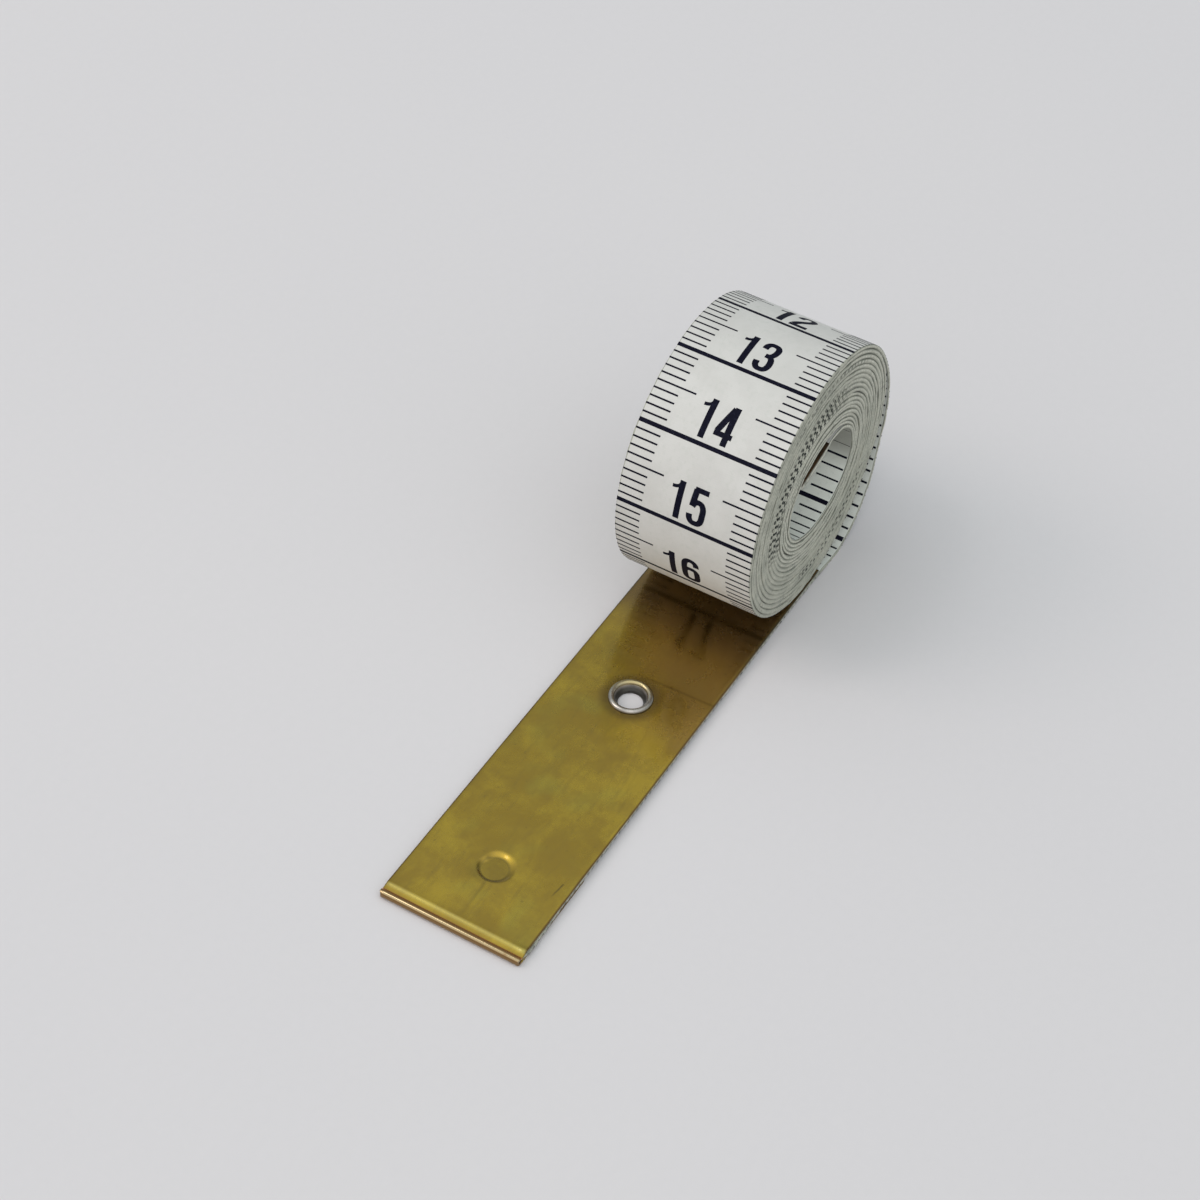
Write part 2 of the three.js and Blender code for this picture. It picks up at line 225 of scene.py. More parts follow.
class Mark:
    """A socket in a node tree. Sums, products and powers of marks add Math nodes to the tree."""

    def __init__(self, tree, socket=None):
        self.tree, self.socket = tree, socket

    def node(self, kind, settings=None, sockets=None, out=0):
        made = self.tree.nodes.new(kind)
        for key, value in (settings or {}).items():
            setattr(made, key, value)
        for key, value in (sockets or {}).items():
            if isinstance(value, Mark):
                self.tree.links.new(value.socket, made.inputs[key])
            elif isinstance(value, tuple) and len(value) == 3 and made.inputs[key].type == "RGBA":
                made.inputs[key].default_value = (*value, 1)
            else:
                made.inputs[key].default_value = value
        return Mark(self.tree, made.outputs[out])

    def math(self, operation, *others):
        return self.node("ShaderNodeMath", {"operation": operation}, dict(enumerate((self, *others))))

    __add__ = __radd__ = math_method("ADD")
    __mul__ = __rmul__ = math_method("MULTIPLY")
    __sub__ = math_method("SUBTRACT")
    __truediv__ = math_method("DIVIDE")
    __pow__ = math_method("POWER")
    __abs__ = math_method("ABSOLUTE")

    def __rsub__(self, other):
        return self.node("ShaderNodeMath", {"operation": "SUBTRACT"}, {0: other, 1: self})

    def rise(self, low, high):
        """0 below low, 1 above high and a smooth step between. With low over high it falls."""
        if low > high:
            return 1 - self.rise(high, low)
        return self.node("ShaderNodeMapRange", {"interpolation_type": "SMOOTHSTEP"}, {0: self, 1: low, 2: high})

    def most(self, *others):
        """The largest of these marks."""
        largest = self
        for other in others:
            largest = largest.math("MAXIMUM", other)
        return largest

    def part(self, axis):
        return self.node("ShaderNodeSeparateXYZ", None, {0: self}, out="XYZ".index(axis))

    def mm(self, axis):
        """One coordinate of a place, in millimetres, with X from the nose."""
        return (self.part(axis) - NOSE if axis == "X" else self.part(axis)) * 1000.0

    def stretched(self, x, y, z):
        return self.node("ShaderNodeMapping", {"vector_type": "POINT"}, {0: self, 3: (x, y, z)})

    def noise(self, scale, detail=3.0, roughness=0.55, distortion=0.0):
        return self.node("ShaderNodeTexNoise", {"noise_dimensions": "3D"}, {
            "Vector": self, "Scale": scale, "Detail": detail, "Roughness": roughness, "Distortion": distortion})

    def between(self, low, high):
        """A colour that goes from low to high as this mark goes from 0 to 1."""
        return self.node("ShaderNodeMix", {"data_type": "RGBA"}, {0: self, 6: low, 7: high}, out=2)

    def bump(self, distance, strength=1.0, under=None):
        sockets = {"Strength": strength, "Distance": distance, "Height": self}
        if under is not None:
            sockets["Normal"] = under
        return self.node("ShaderNodeBump", None, sockets)


def finish_named(name, settings, build):
    """A material: settings go on the shader's own sockets, and build gives the marks that vary."""
    made = bpy.data.materials.new(name)
    made.use_nodes = True
    shader = made.node_tree.nodes["Principled BSDF"]
    for key, value in settings.items():
        shader.inputs[key].default_value = value
    for key, mark in build(Mark(made.node_tree)).items():
        made.node_tree.links.new(mark.socket, shader.inputs[key])
    return made


def object_place(start):
    return start.node("ShaderNodeTexCoord", out=3)


def distance(u, v):
    return (u ** 2 + v ** 2) ** 0.5


def layered(colour, layers):
    """The colour under a stack of layers, each with how much of it shows and its own colour."""
    for shown, over in layers:
        colour = shown.between(colour, over)
    return colour


def brass_look(start):
    place = object_place(start)
    along, side, height = (place.mm(axis) for axis in "XYZ")
    clouds = place.noise(85.0, 4.0, 0.62, 0.7)
    grime = place.noise(330.0, 5.0, 0.65)
    grain = place.noise(1300.0, 3.0, 0.65)
    drawn = place.stretched(1.0, 6.0, 1.0).noise(240.0, 3.0, 0.6)
    patches = place.noise(170.0, 5.0, 0.68, 0.4)
    green = place.noise(120.0, 2.0, 0.5, 0.3)
    # Tarnish and a painted reflection of the roll's shaded cloth brown it from the eyelet back, and a painted dark
    # reflection of the roll's foot darkens the rear.
    tarnish_and_painted_reflection = (along - side + clouds * 12.0).rise(44.0, 56.0) * 0.6
    painted_dark_reflection = (along + clouds * 4.0).rise(51.0, 58.0) * 0.62
    # The brass is darker in a ring round the eyelet, and along a bent line from there to the near edge.
    halo = distance(along - eyelet_at, side).rise(4.3, 2.9) * 0.62 * (0.6 + grime * 0.8)
    bent = abs(along - 43.85 + side * 0.03 + drawn * 0.2).rise(0.32, 0.0) * side.rise(0.4, -1.0) * 0.4
    # The clinch's ring is painted shade in the dish's inner corner, with a painted shadow beside it towards the nose,
    # and tarnish darkens its floor. The brass is also darker along the crease, and dirt has stayed in a scratch.
    from_clinch = distance(along - clinch_at, side)
    painted_shadow_beside_clinch = distance(along - 8.6, side - 1.0).rise(2.2, 0.6) * from_clinch.rise(1.5, 1.75) * 0.4
    ring = abs(from_clinch - clinch_floor + 0.05 - grime * 0.15).rise(0.3, 0.0) * 0.42
    ring = ring.most(painted_shadow_beside_clinch, from_clinch.rise(1.6, 1.35) * 0.24)
    off_crease = abs(side - crease_from[1] - (along - crease_from[0]) * crease_slope + (drawn - 0.5) * 0.5)
    crease = off_crease.rise(0.36, 0.0) * along.rise(2.0, 2.6) * along.rise(8.4, 7.6)
    crease = crease * (0.06 + along.rise(2.5, 7.0) * 0.24)
    scratch = abs(side + 7.5 + (along - 10.6) * 0.14 + (grime - 0.5) * 0.3).rise(0.16, 0.0)
    scratch = scratch * along.rise(9.2, 10.6) * along.rise(11.9, 11.7) * 0.7
    # A painted highlight runs along the bead's crest, between its browned front and the groove.
    bead = along.rise(0.85, 0.6)
    painted_bead_highlight = along.rise(0.12, 0.18) * along.rise(0.42, 0.34) * height.rise(0.55, 0.8) * grime.rise(0.3, 0.42)
    groove = along.rise(0.52, 0.66) * along.rise(1.0, 0.8) * height.rise(0.6, 0.8)
    ridge = along.rise(1.25, 1.5) * along.rise(1.95, 1.75)
    # Painted shade darkens the sheet's long edges, most of all at the rear towards the roll.
    painted_edge_shade = (abs(side) + grime * 0.15).rise(8.82, 9.0) * 0.8 * along.rise(0.8, 2.2)
    bare = (clouds * 0.5 + patches * 0.5).rise(0.38, 0.6).between((0.52, 0.352, 0.036), (0.38, 0.244, 0.028))
    colour = layered(bare, [
        (green.rise(0.54, 0.7) * 0.3, (0.38, 0.345, 0.06)),
        (grime.rise(0.42, 0.7) * 0.55, (0.33, 0.215, 0.032)),
        (drawn.rise(0.5, 0.72) * 0.35, (0.3, 0.2, 0.035)),
        (tarnish_and_painted_reflection, (0.44, 0.26, 0.07)),
        (painted_dark_reflection, (0.12, 0.07, 0.035)),
        (halo, (0.13, 0.085, 0.025)),
        (bent, (0.15, 0.09, 0.025)),
        (ring, (0.13, 0.1, 0.025)),
        (crease, (0.14, 0.1, 0.025)),
        (scratch, (0.1, 0.07, 0.02)),
        (bead, (0.26, 0.145, 0.05)),
        (bead * height.rise(0.8, 0.45) * 0.8, (0.27, 0.165, 0.065)),
        (painted_bead_highlight * 0.9, (0.4, 0.31, 0.17)),
        (groove, (0.62, 0.25, 0.06)),
        (ridge * 0.35, (0.22, 0.26, 0.107)),
        (painted_edge_shade, along.rise(48.0, 58.0).between((0.13, 0.065, 0.02), (0.04, 0.035, 0.02))),
        (grain.rise(0.64, 0.76) * 0.35, (0.16, 0.11, 0.03)),
    ])
    roughness = 0.2 + clouds * 0.12 + grime.rise(0.4, 0.8) * 0.14 - bead * 0.17
    waves = (place.noise(70.0, 2.0) + drawn * 0.12 + (ring + crease + bent) * -0.4).bump(0.00003, 0.6)
    normal = ((grain * 0.6 + grime * 0.4) * (1 - bead * 0.85)).bump(0.000006, 0.7, under=waves)
    return {"Base Color": colour, "Roughness": roughness, "Normal": normal}


def brass_section(columns):
    return sheet_loop(columns, brass_thickness / 2, -brass_thickness / 2, sheet_rounding)


brass = finish_named("tarnished_brass", {"Metallic": 1.0, "Coat Weight": 0.5, "Coat Roughness": 0.1}, brass_look)

# The rows lie closer at the press marks, the crease and the clinch, and so do the columns.
fold = np.linspace(-math.pi / 2, -3 * math.pi / 2, 25)
fold_radius = nose_radius - brass_thickness / 2
back = np.arange(return_leaf_length, nose_radius, -0.5)
under = np.stack([back, np.full(len(back), brass_thickness / 2)], 1)
nose = np.stack([nose_radius + fold_radius * np.cos(fold), nose_radius + fold_radius * np.sin(fold)], 1)
press = smooth_through(leaf_shape, 0.06)
far = np.concatenate([np.arange(3.5, 6.4, 0.5), np.arange(6.6, 13.0, 0.12),
                      np.arange(13.2, stiffener_length, 0.8), [stiffener_length]])
leaf = np.concatenate([press[1:], np.stack([far, np.zeros(len(far))], 1)]) + [0, leaf_middle]
brass_path = np.concatenate([under, nose, leaf])
half = TAPE_WIDTH / 2
columns = np.concatenate([np.arange(0.0, 3.3, 0.12), np.linspace(3.6, half, 9)])
columns = np.unique(np.round(np.concatenate([-columns, columns]), 4))
stiffener = strip_mesh("stiffener", brass_path, [brass_section(columns)] * len(brass_path))

# The clinch is wider towards the rear, and its wall has a nick.
co = np.array([v.co for v in stiffener.data.vertices])
x, y, z = (co[:, 0] - NOSE) / MM, co[:, 1] / MM, co[:, 2] / MM
reach, bearing = np.hypot(x - clinch_at, y), np.arctan2(y, x - clinch_at)
nick = np.exp(-((bearing - nick_bearing) / nick_spread) ** 2)
rim = clinch_rim + 0.3 * np.cos(bearing + 0.4) - 0.25 * nick
floor = clinch_floor - 0.3 * nick
wall = np.clip((rim - reach) / (rim - floor), 0, 1)
dish = clinch_depth * wall ** 2 * (3 - 2 * wall)
off_crease = y - crease_from[1] - (x - crease_from[0]) * crease_slope
crease = crease_depth * np.exp(-(off_crease / crease_width) ** 2)
crease *= np.clip((x - 2.2) / 1.5, 0, 1) * np.clip((8.2 - x) / 0.8, 0, 1)

# The open leaf is a little wavy, and the ridge stands higher at its near end.
sag = 0.03 * np.sin(x / 11.0 + 0.6) * np.cos(y / 7.0) + 0.02 * np.sin(x / 4.7 + y / 5.0)
sag *= np.clip((x - 3) / 6, 0, 1) * np.clip((50 - x) / 8, 0, 1)
raised = 0.07 * np.exp(-((x - 1.75) / 0.45) ** 2) * np.clip((-y - 7.5) / 1.2, 0, 1) ** 2
top_leaf = z > nose_radius
z = z + np.where(top_leaf & (x > 2.0), -dish - crease + 0.6 * sag, 0) + np.where(top_leaf, raised, 0)
rounded = nose_corner * (1 - np.sqrt(1 - np.clip((nose_corner - x) / nose_corner, 0, 1) ** 2))
y = np.clip(y, rounded - half, half - rounded)
stiffener.data.vertices.foreach_set("co", metres(np.stack([x, y, z], 1)).ravel())
punch(stiffener, eyelet_at, eyelet_hole)
face_outwards(stiffener)
stiffener.data.materials.append(brass)
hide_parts("brass_stiffener")
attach(stiffener, "flat_end")


# Eyelet: one nickel-plated tube. Its rounded flange lies on the stiffener, its barrel goes down
# through the brass and the ribbon, and its foot is rolled out under them.
bore = 1.95
flange = 2.72
foot = 2.6
crown = 0.45
barrel_wall = 0.22
throat_depth = 0.75
throat_narrowing = 0.45
leaf_top = leaf_middle + brass_thickness / 2


def nickel_look(start):
    place = object_place(start)
    along, side, height = (place.mm(axis) for axis in "XYZ")
    smears = place.noise(900.0, 4.0, 0.6)
    pits = place.noise(5200.0, 2.0, 0.7)
    from_middle = distance(along - eyelet_at, side)
    inside = from_middle.rise(2.02, 1.93)
    # A painted reflection of the brass browns its rear side.
    painted_brass_reflection = (along - eyelet_at + side * 0.3).rise(-0.6, 2.4)
    # Painted shade darkens the bore's wall low down.
    colour = layered(smears.rise(0.35, 0.7).between((0.49, 0.455, 0.41), (0.34, 0.31, 0.28)), [
        (pits.rise(0.6, 0.74) * 0.6, (0.2, 0.17, 0.14)),
        (painted_brass_reflection * height.rise(1.0, 1.12) * 0.8, (0.46, 0.36, 0.15)),
        (inside * height.rise(1.0, 0.6) * 0.85, (0.035, 0.037, 0.033)),
        (from_middle.rise(2.6, 2.7) * height.rise(1.2, 1.05) * 0.85, (0.06, 0.06, 0.05)),
    ])
    roughness = 0.12 + smears * 0.16 + inside * 0.2
    return {"Base Color": colour, "Roughness": roughness, "Normal": (smears * 0.6 + pits * 0.4).bump(0.000008, 0.6)}


def turned(name, x, profile, segments=96):
    """A closed profile of (radius, height) points turned about the upright line at x."""
    turn = np.linspace(0, 2 * math.pi, segments, endpoint=False)
    points = [(x + r * math.cos(t), r * math.sin(t), h) for t in turn for r, h in profile]
    n = len(profile)
    faces = [(k * n + j, k * n + (j + 1) % n, (k + 1) % segments * n + (j + 1) % n, (k + 1) % segments * n + j)
             for k in range(segments) for j in range(n)]
    piece = meshed(name, points, faces)
    face_outwards(piece, 50)
    return piece


crown_middle, crown_half = (bore + flange) / 2, (flange - bore) / 2
dome = [(crown_middle + crown_half * math.cos(t), leaf_top + crown * math.sin(t) ** 0.9)
        for t in np.linspace(0, math.pi, 19)]
throat = [(bore - throat_narrowing * (1 - h) ** 1.5, leaf_top - throat_depth * (1 - h))
          for h in (0.85, 0.6, 0.3, 0.0)]
roll_out = [(bore - throat_narrowing, 0.12), (bore - 0.3, 0.02), (foot - 0.12, 0.0), (foot, 0.08),
            (foot - 0.02, 0.2), (foot - 0.1, 0.27)]
barrel = [(bore + barrel_wall, 0.28), (bore + barrel_wall, leaf_top), (flange - 0.05, leaf_top)]
eyelet = turned("eyelet_ring", eyelet_at, dome + throat + roll_out + barrel)
eyelet.data.materials.append(finish_named("nickel_plate", {"Metallic": 1.0}, nickel_look))
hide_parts("eyelet")
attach(eyelet, "flat_end")


# Ribbon, flat end and loose lead: coated cloth, 18 mm wide. It starts in the stiffener's fold,
# leaves it at the rear edge, settles on the table, and rises as a loose lead to the roll's back.
# Each scale's zero lies a little behind the nose, so a reading is the length along it less that.
ZERO = 0.99
INCH_ZERO = 1.5
INCH = 25.4
ribbon_start = 1.0
ribbon_middle = brass_thickness + tape_half
settle_length = 4.0
lift_off = 76.5
lead_slope = math.radians(20)
lead_waist = np.array([86.422, 11.1])
lead_waist_way = math.radians(70.4)
start_pull, waist_pull, waist_push, join_pull = 6.94, 5.08, 6.89, 3.79
body_centre = np.array([67.96, 17.935])
body_half = np.array([17.824, 16.995])
core_centre = np.array([68.5, 17.6])
core_half = np.array([8.225, 6.5])
join_at = math.radians(33)
root_at = math.radians(81)
winding_end = root_at + 2 * math.pi * 18
root_sag, root_sag_over = 0.865, math.radians(60)
bar_inch, bar_before_root = 58, math.radians(148)
inner_end_length = 7.6
inner_end_slope = math.radians(13)


def bezier(a, b, c, d, count=60):
    t = np.linspace(0, 1, count)[:, None]
    return (1 - t) ** 3 * a + 3 * (1 - t) ** 2 * t * b + 3 * (1 - t) * t ** 2 * c + t ** 3 * d


def heading(angle):
    return np.array([math.cos(angle), math.sin(angle)])


def wound_line(loosening):
    """The wound turns' middle line, from the lead's join to the root of the inner end, by angle.
    Just before the root it sags away from the turn above it."""
    angle = np.arange(join_at, winding_end, math.radians(2.0))
    t = (angle - join_at) / (winding_end - join_at)
    share = (t + loosening * t * (1 - t))[:, None]
    centre = body_centre + (core_centre - body_centre) * share
    line = centre + (body_half + (core_half - body_half) * share) * np.stack([np.cos(angle), np.sin(angle)], 1)
    sagging = np.clip(angle - winding_end + root_sag_over, 0, None) / root_sag_over
    line[:, 1] -= root_sag * sagging ** 3.5
    return angle, line


def whole_path(loosening):
    """The ribbon's middle line from its start in the fold to the tip of its inner end, with the
    length from the nose at each point, along the wound turns alone and at the inch bar."""
    angle, wound = wound_line(loosening)
    down = np.linspace(0, 1, 9)
    settling = ribbon_middle - brass_thickness * (1 - np.cos(math.pi * down)) / 2
    flat = np.concatenate([
        [[ribbon_start, ribbon_middle], [20.0, ribbon_middle], [60.0, ribbon_middle]],
        np.stack([stiffener_length + settle_length * down, settling], 1),
    ])
    start = np.array([lift_off, tape_half])
    waist_way = heading(lead_waist_way)
    join_way = wound[1] - wound[0]
    join_way /= np.linalg.norm(join_way)
    lead = np.concatenate([
        bezier(start, start + start_pull * heading(lead_slope), lead_waist - waist_pull * waist_way, lead_waist),
        bezier(lead_waist, lead_waist + waist_push * waist_way, wound[0] - join_pull * join_way, wound[0])[1:],
    ])
    tip = wound[-1] - inner_end_length * heading(inner_end_slope)
    path = np.concatenate([flat, lead, wound[1:], np.linspace(wound[-1], tip, 9)[1:]])
    run = run_of(path) + ribbon_start
    wound_run = run[len(flat) + len(lead) - 1:][:len(wound)]
    return path, run, wound_run, np.interp(winding_end - bar_before_root, angle, wound_run)


# The winding's tightness is settled so that the 58-inch line falls where the hollow shows it.
tight, loose = -0.6, 0.6
for _ in range(30):
    middle = (tight + loose) / 2
    if whole_path(middle)[3] > bar_inch * INCH + INCH_ZERO:
        tight = middle
    else:
        loose = middle
ribbon_path, ribbon_run, wound_run, _ = whole_path((tight + loose) / 2)
wound_angle = wound_line((tight + loose) / 2)[0]
joined, rooted = wound_run[0], wound_run[-1]


def on_ribbon(lengths):
    """Points of the middle line at lengths from the nose."""
    return np.stack([np.interp(lengths, ribbon_run, ribbon_path[:, k]) for k in (0, 1)], -1)


# The ribbon wanders sideways along the lead, and the roll stands a little askew on the brass.
wander = smooth_through([(0, 0), (60, 0), (66, -0.02), (72, -0.18), (76, -0.21), (80, -0.2), (85, -0.03),
                         (88, 0.15), (91, 0.36), (95, 0.45), (100, 0.45), (106, 0.43), (joined, 0.449)], 0.5)
roll_shift, roll_lean, roll_turn = -0.0975, 0.01056, 0.00825


def sideways(lengths):
    """How far along Y the ribbon's middle lies at lengths from the nose."""
    x, z = on_ribbon(lengths).T
    askew = roll_shift + roll_lean * (z - 1.05) + roll_turn * (x - 50)
    return np.where(lengths < joined, np.interp(lengths, *wander.T), askew)


def ribbon_strip(name, start, end, step, loop_at):
    """One stretch of the ribbon as a closed strip, with the cross-section that loop_at gives."""
    lengths = np.linspace(start, end, int((end - start) / step) + 1)
    return strip_mesh(name, on_ribbon(lengths), [loop_at(s) for s in lengths], lengths, sideways(lengths))


def drift(at, seed, step):
    """A smooth random value from -1 to 1 that changes over about one step."""
    table = np.random.default_rng(seed).uniform(-1, 1, 4096)
    cell = math.floor(at / step)
    t = at / step - cell
    t = t * t * (3 - 2 * t)
    return table[cell % 4096] * (1 - t) + table[(cell + 1) % 4096] * t


ribbon_half = 8.94
half_columns = [2.0, 6.0, 8.35, 8.6, 8.84, ribbon_half]
ribbon_columns = np.array([-c for c in half_columns[::-1]] + half_columns)
hem_from, cut_from = 8.5, 8.88
rim_from, rim_tilt = 8.86, 0.35


def ribbon_loop(above, below, left, right, hem=0.0):
    """The ribbon's cross-section, with its cut edges drawn out by left (low Y) and right, and
    made thicker by hem on the inner face of each edge."""
    loop = sheet_loop(ribbon_columns, above, below, 0.05, 2)
    loop[(np.abs(loop[:, 0]) > hem_from) & (loop[:, 1] > 0.05), 1] += hem
    edge = np.abs(loop[:, 0]) > cut_from
    loop[edge, 0] += np.where(loop[edge, 0] < 0, -left, right)
    return loop


def flat_fray(s):
    """How far the two cut edges stand out where the ribbon lies flat."""
    return [0.03 + 0.05 * drift(s, seed, 0.7) for seed in (11, 12)]


def flat_section(s):
    """Near the nose the ribbon shows a little at the stiffener's near side."""
    left, right = flat_fray(s)
    left += 0.3 * max(0.0, 1 - s / 9.5) if s > 1.6 else 0.0
    return ribbon_loop(tape_half, -tape_half, left, right)


def on_cloth(start):
    """Length along the ribbon and place across it, in millimetres, and how far up in its layers."""
    place = start.node("ShaderNodeUVMap", {"uv_map": "cloth"})
    layer = start.node("ShaderNodeAttribute", {"attribute_name": "layer"}, out=2)
    return place.part("X") * 1000.0, place.part("Y") * 1000.0, layer


def threads(place, pitch):
    return (place * (2 * math.pi / pitch)).math("SINE")


warp_pitch, weft_pitch = 0.42, 0.5


def cloth_look(start):
    place = object_place(start)
    x, z = place.mm("X"), place.mm("Z")
    along, across, layer = on_cloth(start)
    weave = abs(threads(across, warp_pitch)) * 0.5 + abs(threads(along, weft_pitch)) * 0.5
    blotch = place.noise(260.0, 4.0, 0.6)
    fleck = place.noise(1500.0, 3.0, 0.65)
    # The inner face has kept whiter than the outer one. A painted shadow darkens the inner face in the
    # hollow, towards the root of the inner end.
    inner = layer.rise(0.4, 0.6)
    painted_hollow_shadow = inner * (x + z).rise(89.0, 94.5) * x.rise(78.0, 77.0) * (x - z).rise(44.0, 49.0)
    painted_hollow_shadow = painted_hollow_shadow * along.rise(1400.0, 1410.0)
    colour = layered(blotch.rise(0.35, 0.68).between((0.642, 0.628, 0.6), (0.602, 0.588, 0.56)), [
        (inner, (0.79, 0.81, 0.75)),
        (painted_hollow_shadow * 0.9, (0.3, 0.3, 0.26)),
        (fleck.rise(0.5, 0.72) * 0.35, (0.52, 0.535, 0.485)),
        ((1 - weave) * 0.14, (0.48, 0.495, 0.45)),
    ])
    normal = (weave * 0.6 + fleck * 0.4).bump(0.00002, 0.35, under=blotch.bump(0.00006, 0.3))
    return {"Base Color": colour, "Roughness": 0.46 + blotch * 0.16, "Normal": normal}


def edge_look(start):
    place = object_place(start)
    x, z = place.mm("X"), place.mm("Z")
    along, _, layer = on_cloth(start)
    mottle = place.noise(420.0, 4.0, 0.6)
    fuzz = place.noise(3600.0, 3.0, 0.7)
    turn = distance((x - body_centre[0]) / body_half[0], (z - body_centre[1]) / body_half[1])
    # The woven core is paler than the coat's dirty rims, which painted shade darkens further where the gap between
    # turns lies.
    core = abs(layer - 0.42 - (mottle - 0.5) * 0.5).rise(0.3, 0.1) * fuzz.rise(0.3, 0.55)
    airy = (turn.rise(0.72, 0.55) + (x + z * 0.6).rise(88.0, 96.0)).math("MINIMUM", 1.0)
    painted_gap_shade = abs(layer - 0.5).rise(0.34, 0.49) * (mottle + airy * 0.25).rise(0.4, 0.75)
    cut_threads = (threads(along, weft_pitch) * 0.5 + 0.5) * fuzz.rise(0.62, 0.5)
    # A tick's ink goes over the rim, and shows from the side as a dot: in three arcs of the roll,
    # under the brass, and here and there elsewhere.
    off_tick = ((along - ZERO + 0.5).math("FLOORED_MODULO", 1.0) - 0.5 + (mottle - 0.5) * 0.35) / 0.25
    off_layer = (layer - 0.4 - (mottle - 0.5) * 0.5) / 0.42
    tick = (off_tick ** 2 + off_layer ** 2 + (fuzz - 0.5) * 1.6).rise(1.35, 0.7)
    upper = turn.rise(0.57, 0.6) * turn.rise(0.76, 0.72) * (x - z * 0.55).rise(60.0, 52.0) * z.rise(13.0, 17.0)
    lower = turn.rise(0.75, 0.77) * turn.rise(0.83, 0.81) * z.rise(13.0, 10.5) * x.rise(64.0, 66.0)
    top = turn.rise(0.86, 0.875) * turn.rise(0.91, 0.9) * z.rise(29.5, 31.0) * 0.5
    under_brass = along.rise(72.0, 70.0) * 0.5
    elsewhere = place.noise(170.0, 2.0, 0.6).rise(0.6, 0.7) * 0.45
    shown = upper.most(lower, top, under_brass, elsewhere) * place.noise(800.0, 1.0).rise(0.28, 0.38)
    colour = layered(mottle.rise(0.34, 0.68).between((0.49, 0.488, 0.41), (0.37, 0.374, 0.314)), [
        (core * (0.4 + airy * 0.6), (0.66, 0.65, 0.56)),
        (painted_gap_shade * (0.4 + airy * 0.2), (0.12, 0.13, 0.105)),
        (cut_threads * 0.25, (0.22, 0.235, 0.2)),
        (tick * shown * 0.98, (0.008, 0.012, 0.012)),
    ])
    normal = (fuzz * 0.7 + mottle * 0.3).bump(0.00012, 0.8)
    return {"Base Color": colour, "Roughness": 0.78 + fuzz * 0.15, "Normal": normal}


coated_cloth = finish_named("coated_cloth", {"Specular IOR Level": 0.35}, cloth_look)
cut_edge = finish_named("cut_cloth_edge", {"Specular IOR Level": 0.2}, edge_look)


def dress_ribbon(piece):
    """Coated faces, and matt frayed cloth on the cut edges and their rims."""
    mesh = piece.data
    mesh.materials.append(coated_cloth)
    mesh.materials.append(cut_edge)
    normals = np.empty(len(mesh.polygons) * 3)
    mesh.polygons.foreach_get("normal", normals)
    uv = mesh.uv_layers["cloth"].uv
    across = [max(abs(uv[k].vector[1]) for k in face.loop_indices) for face in mesh.polygons]
    cut = (np.abs(normals[1::3]) > rim_tilt) | (np.array(across) > rim_from * MM)
    mesh.polygons.foreach_set("material_index", cut.astype(int).tolist())


flat_end = ribbon_strip("ribbon_flat_end", ribbon_start, joined, 0.5, flat_section)
punch(flat_end, eyelet_at, eyelet_hole)
face_outwards(flat_end)
dress_ribbon(flat_end)
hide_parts("ribbon_under_stiffener")
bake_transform(flat_end)
(joined - ribbon_start) * MM


# Ribbon, wound turns: the same cloth, wound inwards round a flattened hollow for some 18 turns.
# Each layer lies on the one inside it, here and there with a little air, and the cut edges
# stand out by a hair more or less from turn to turn.
inner_start = rooted - 4.0


def pitch_at(s):
    """Distance from the middle line out to the next turn's, at a length."""
    angle = np.interp(s, wound_run, wound_angle)
    if angle - 2 * math.pi < join_at:
        return None
    outer = np.interp(angle - 2 * math.pi, wound_angle, wound_run)
    return np.linalg.norm(on_ribbon(outer) - on_ribbon(s))


def wound_section(s):
    pitch = pitch_at(s)
    air = 0.022 + 0.012 * drift(s, 21, 5.0) + 0.35 * max(0.0, drift(s, 22, 9.0) - 0.62)
    outside = tape_half if pitch is None else min(pitch - tape_half - air, 0.33)
    fray = [0.02 + 0.08 * drift(s, seed, 11.0) + 0.055 * drift(s, seed + 5, 0.7) for seed in (31, 32)]
    return ribbon_loop(tape_half, -outside, *fray)


wound = ribbon_strip("ribbon_wound", joined, inner_start, 0.9, wound_section)
dress_ribbon(wound)
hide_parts("ribbon_outer_turn", "ribbon_wound_turns")
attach(wound, "roll")
(inner_start - joined) * MM


# Ribbon, inner end: the last stretch parts from the turn above it and crosses the hollow's roof
# as a straight flap.
tip = ribbon_run[-1]


def hemmed_section(s):
    """The flap's edges are hemmed over the tab's lower leaf."""
    hem = 0.42 * min(1.0, max(0.0, (s - rooted) / 2.5))
    return ribbon_loop(tape_half, -tape_half, *flat_fray(s), hem)


inner_end = ribbon_strip("ribbon_inner_end_flap", inner_start, tip, 0.5, hemmed_section)
dress_ribbon(inner_end)
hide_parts("ribbon_inner_end")
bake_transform(inner_end)
(tip - inner_start) * MM


# Inner end tab: a brass sheet folded over the ribbon's inner end. Its upper leaf is as wide as
# the ribbon, and its lower one lies between the hems. It is painted dark brown: tarnish, and painted shade for the
# roll's dark inside.
tab_length = 6.7
tab_half = tape_half + 0.05 + brass_thickness / 2
upper_half, lower_half = 8.96, 8.3
onwards = -heading(inner_end_slope)
upwards = np.array([onwards[1], -onwards[0]])
leaf_steps = np.linspace(tab_length, 0.0, 14)
bend = np.linspace(math.pi / 2, -math.pi / 2, 13)[1:-1]
tab_path = ribbon_path[-1] + np.concatenate([
    [upwards * tab_half - onwards * d for d in leaf_steps],
    [upwards * tab_half * math.sin(a) + onwards * tab_half * math.cos(a) for a in bend],
    [-upwards * tab_half - onwards * d for d in leaf_steps[::-1]],
])
tab_halves = np.interp(np.arange(len(tab_path)), [14, 20], [upper_half, lower_half])
tab_loops = [brass_section(np.linspace(-h, h, 9)) for h in tab_halves]
